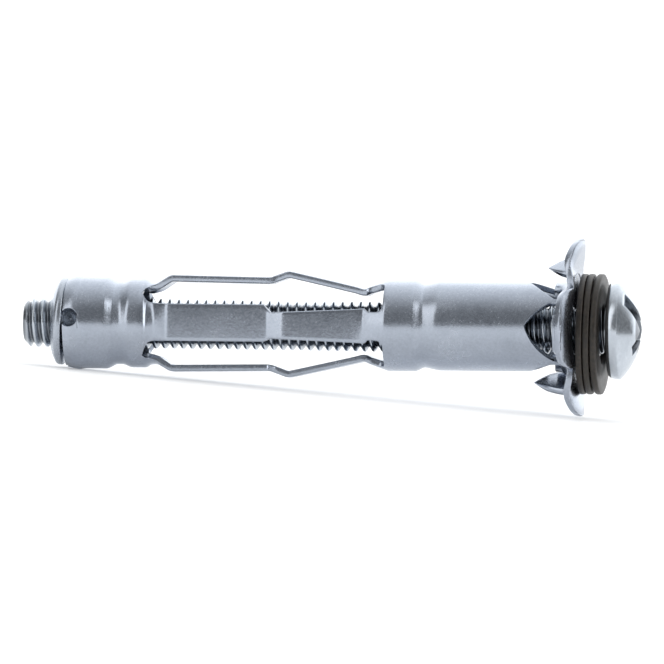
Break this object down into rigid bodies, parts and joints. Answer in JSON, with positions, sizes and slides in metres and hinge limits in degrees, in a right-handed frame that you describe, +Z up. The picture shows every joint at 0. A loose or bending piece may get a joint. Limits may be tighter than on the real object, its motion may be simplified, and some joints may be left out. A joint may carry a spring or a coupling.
{
  "type": "hollow wall anchor",
  "caption": "Hollow wall anchor: slotted folding steel sleeve with a clover flange, a staked nut and a pan head machine screw on loose washers.",
  "frame": {"origin": "centre of the flange's rear face, on the sleeve's axis, where the anchor seats on the wall", "axes": "+X along the anchor towards the screw head, +Z up. The anchor lies on its side as it comes to rest, on the tip of its lowest flange lobe and on the barrel that holds the nut, so its axis rises 4.94 degrees towards the head."},
  "size_m": [0.0475, 0.0136, 0.0137],
  "materials": {
    "sleeve_zinc": "satin bluish zinc plating",
    "nut_zinc": "satin zinc plating",
    "screw_zinc": "bright zinc plating",
    "washer_fibre": "dark brown grey fibre, slightly glossy"
  },
  "bodies": {
    "anchor": {"sleeve": "sleeve_zinc", "nut": "nut_zinc"},
    "washers": {"inner_washer": "washer_fibre", "middle_washer": "washer_fibre", "outer_washer": "washer_fibre"},
    "screw": {"screw": "screw_zinc"}
  },
  "joints": [
    {"name": "screw_advance", "type": "slide", "parent": "anchor", "child": "washers", "axis": [0.9966, 0, 0.0818], "range_m": [0, 0.0056]},
    {"name": "screw_turn", "type": "hinge", "parent": "washers", "child": "screw", "pos_m": [0.0031, 0, 0.00009], "axis": [0.9966, 0, 0.0818], "range_deg": [0, 2880]}
  ],
  "couplings": [
    {"joint": "screw_turn", "follows": "screw_advance", "rad_per_m": 8976}
  ]
}
